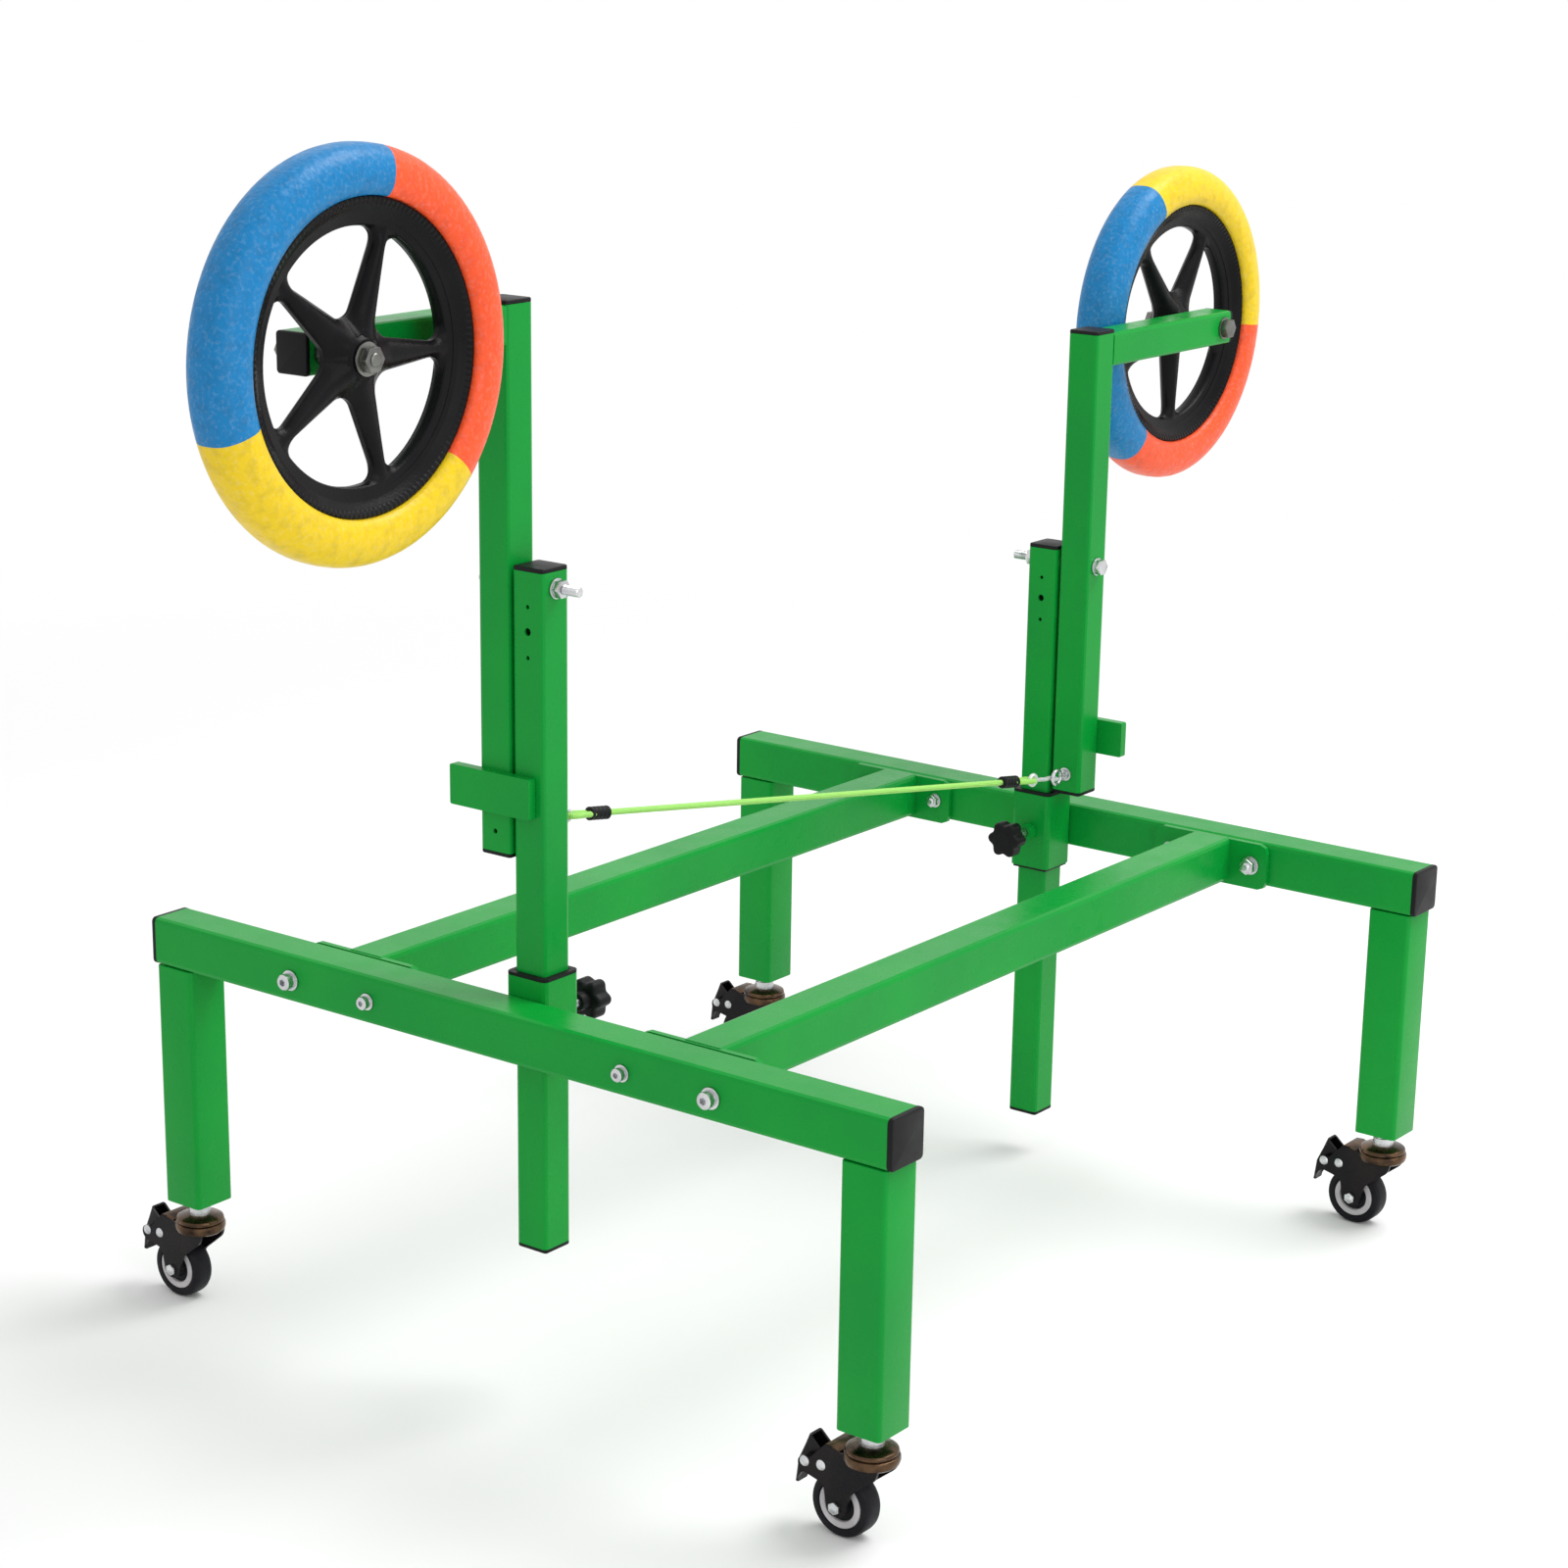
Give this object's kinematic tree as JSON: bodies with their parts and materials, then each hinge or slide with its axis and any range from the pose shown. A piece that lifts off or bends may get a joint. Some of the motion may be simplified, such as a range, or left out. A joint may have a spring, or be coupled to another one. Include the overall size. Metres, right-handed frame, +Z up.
{
  "type": "tennis swing trainer",
  "caption": "Free-standing stroke trainer: a square-tube frame on braked casters with two height-set posts, each carrying a spring-return arm and a free-spinning foam-tyred wheel.",
  "frame": {"origin": "on the floor, under the middle of the whole outline (brake levers and wheels included)", "axes": "+Z up, X along the two crossbeams, Y along the two rails; the near unit, set higher, is at -Y"},
  "size_m": [0.7901, 1.414, 1.0002],
  "materials": {
    "green_paint": "gloss powder coat",
    "black_plastic": "satin moulded",
    "zinc_plate": "bright zinc plate",
    "caster_steel": "dark plated",
    "caster_tread": "satin",
    "wheel_plastic": "semi-gloss moulded",
    "tyre_foam": "pebbled foam, three colours",
    "elastic_cord": "woven sheath"
  },
  "bodies": {
    "frame": {"near_crossbeam": "green_paint", "near_left_beam_cap": "black_plastic", "near_left_rail_bolt": "zinc_plate", "near_left_leg": "green_paint", "near_right_beam_cap": "black_plastic", "near_right_rail_bolt": "zinc_plate", "near_right_leg": "green_paint", "near_sleeve": "green_paint", "near_sleeve_bushing": "black_plastic", "far_crossbeam": "green_paint", "far_left_beam_cap": "black_plastic", "far_left_rail_bolt": "zinc_plate", "far_left_leg": "green_paint", "far_right_beam_cap": "black_plastic", "far_right_rail_bolt": "zinc_plate", "far_right_leg": "green_paint", "far_sleeve": "green_paint", "far_sleeve_bushing": "black_plastic", "left_rail": "green_paint", "right_rail": "green_paint", "elastic_cord": "elastic_cord"},
    "near_left_caster_fork": {"near_left_caster_fork": "caster_steel"},
    "near_left_caster_wheel": {"near_left_caster_wheel": "caster_tread"},
    "near_left_brake_lever": {"near_left_brake_lever": "caster_steel"},
    "near_right_caster_fork": {"near_right_caster_fork": "caster_steel"},
    "near_right_caster_wheel": {"near_right_caster_wheel": "caster_tread"},
    "near_right_brake_lever": {"near_right_brake_lever": "caster_steel"},
    "far_left_caster_fork": {"far_left_caster_fork": "caster_steel"},
    "far_left_caster_wheel": {"far_left_caster_wheel": "caster_tread"},
    "far_left_brake_lever": {"far_left_brake_lever": "caster_steel"},
    "far_right_caster_fork": {"far_right_caster_fork": "caster_steel"},
    "far_right_caster_wheel": {"far_right_caster_wheel": "caster_tread"},
    "far_right_brake_lever": {"far_right_brake_lever": "caster_steel"},
    "near_post": {"near_post": "green_paint", "near_post_top_cap": "black_plastic", "near_post_foot_cap": "black_plastic", "near_pivot_bolt": "zinc_plate"},
    "near_arm": {"near_arm": "green_paint", "near_arm_top_cap": "black_plastic", "near_arm_foot_cap": "black_plastic", "near_bracket_cap": "black_plastic", "near_wheel_axle": "zinc_plate", "near_eye_bolt": "zinc_plate"},
    "near_wheel": {"near_wheel_rim": "wheel_plastic", "near_tyre": "tyre_foam"},
    "near_clamp_knob": {"near_clamp_knob": "black_plastic"},
    "far_post": {"far_post": "green_paint", "far_post_top_cap": "black_plastic", "far_post_foot_cap": "black_plastic", "far_pivot_bolt": "zinc_plate"},
    "far_arm": {"far_arm": "green_paint", "far_arm_top_cap": "black_plastic", "far_arm_foot_cap": "black_plastic", "far_bracket_cap": "black_plastic", "far_wheel_axle": "zinc_plate", "far_eye_bolt": "zinc_plate"},
    "far_wheel": {"far_wheel_rim": "wheel_plastic", "far_tyre": "tyre_foam"},
    "far_clamp_knob": {"far_clamp_knob": "black_plastic"}
  },
  "joints": [
    {"name": "near_left_swivel", "type": "hinge", "parent": "frame", "child": "near_left_caster_fork", "pos_m": [-0.32985, -0.395, 0.08], "axis": [0, 0, 1], "continuous": true},
    {"name": "near_left_caster_roll", "type": "hinge", "parent": "near_left_caster_fork", "child": "near_left_caster_wheel", "pos_m": [-0.35185, -0.395, 0.026], "axis": [0, 1, 0], "continuous": true},
    {"name": "near_left_brake_release", "type": "hinge", "parent": "near_left_caster_fork", "child": "near_left_brake_lever", "pos_m": [-0.38085, -0.395, 0.055], "axis": [0, 1, 0], "range_deg": [0, 12]},
    {"name": "near_right_swivel", "type": "hinge", "parent": "frame", "child": "near_right_caster_fork", "pos_m": [0.37155, -0.395, 0.08], "axis": [0, 0, 1], "continuous": true},
    {"name": "near_right_caster_roll", "type": "hinge", "parent": "near_right_caster_fork", "child": "near_right_caster_wheel", "pos_m": [0.34955, -0.395, 0.026], "axis": [0, 1, 0], "continuous": true},
    {"name": "near_right_brake_release", "type": "hinge", "parent": "near_right_caster_fork", "child": "near_right_brake_lever", "pos_m": [0.32055, -0.395, 0.055], "axis": [0, 1, 0], "range_deg": [0, 12]},
    {"name": "far_left_swivel", "type": "hinge", "parent": "frame", "child": "far_left_caster_fork", "pos_m": [-0.32985, 0.395, 0.08], "axis": [0, 0, 1], "continuous": true},
    {"name": "far_left_caster_roll", "type": "hinge", "parent": "far_left_caster_fork", "child": "far_left_caster_wheel", "pos_m": [-0.35185, 0.395, 0.026], "axis": [0, 1, 0], "continuous": true},
    {"name": "far_left_brake_release", "type": "hinge", "parent": "far_left_caster_fork", "child": "far_left_brake_lever", "pos_m": [-0.38085, 0.395, 0.055], "axis": [0, 1, 0], "range_deg": [0, 12]},
    {"name": "far_right_swivel", "type": "hinge", "parent": "frame", "child": "far_right_caster_fork", "pos_m": [0.37155, 0.395, 0.08], "axis": [0, 0, 1], "continuous": true},
    {"name": "far_right_caster_roll", "type": "hinge", "parent": "far_right_caster_fork", "child": "far_right_caster_wheel", "pos_m": [0.34955, 0.395, 0.026], "axis": [0, 1, 0], "continuous": true},
    {"name": "far_right_brake_release", "type": "hinge", "parent": "far_right_caster_fork", "child": "far_right_brake_lever", "pos_m": [0.32055, 0.395, 0.055], "axis": [0, 1, 0], "range_deg": [0, 12]},
    {"name": "near_post_slide", "type": "slide", "parent": "frame", "child": "near_post", "axis": [0, 0, 1], "range_m": [-0.088, 0.135], "deforming": ["elastic_cord"]},
    {"name": "near_arm_swing", "type": "hinge", "parent": "near_post", "child": "near_arm", "pos_m": [0.02085, -0.3547, 0.662], "axis": [-1, 0, 0], "range_deg": [0, 42], "stiffness_Nm_per_rad": 6, "springref_deg": -34.38, "deforming": ["elastic_cord"]},
    {"name": "near_wheel_spin", "type": "hinge", "parent": "near_arm", "child": "near_wheel", "pos_m": [0.03085, -0.5627, 0.8557], "axis": [1, 0, 0], "continuous": true},
    {"name": "near_knob_turn", "type": "hinge", "parent": "frame", "child": "near_clamp_knob", "pos_m": [0.02085, -0.3347, 0.322], "axis": [0, 1, 0], "range_deg": [0, 540]},
    {"name": "far_post_slide", "type": "slide", "parent": "frame", "child": "far_post", "axis": [0, 0, 1], "range_m": [0, 0.223], "deforming": ["elastic_cord"]},
    {"name": "far_arm_swing", "type": "hinge", "parent": "far_post", "child": "far_arm", "pos_m": [0.02085, 0.3547, 0.574], "axis": [1, 0, 0], "range_deg": [0, 42], "stiffness_Nm_per_rad": 6, "springref_deg": -34.38, "deforming": ["elastic_cord"]},
    {"name": "far_wheel_spin", "type": "hinge", "parent": "far_arm", "child": "far_wheel", "pos_m": [0.01085, 0.5627, 0.7677], "axis": [1, 0, 0], "continuous": true},
    {"name": "far_knob_turn", "type": "hinge", "parent": "frame", "child": "far_clamp_knob", "pos_m": [0.02085, 0.3347, 0.322], "axis": [0, -1, 0], "range_deg": [0, 540]}
  ]
}
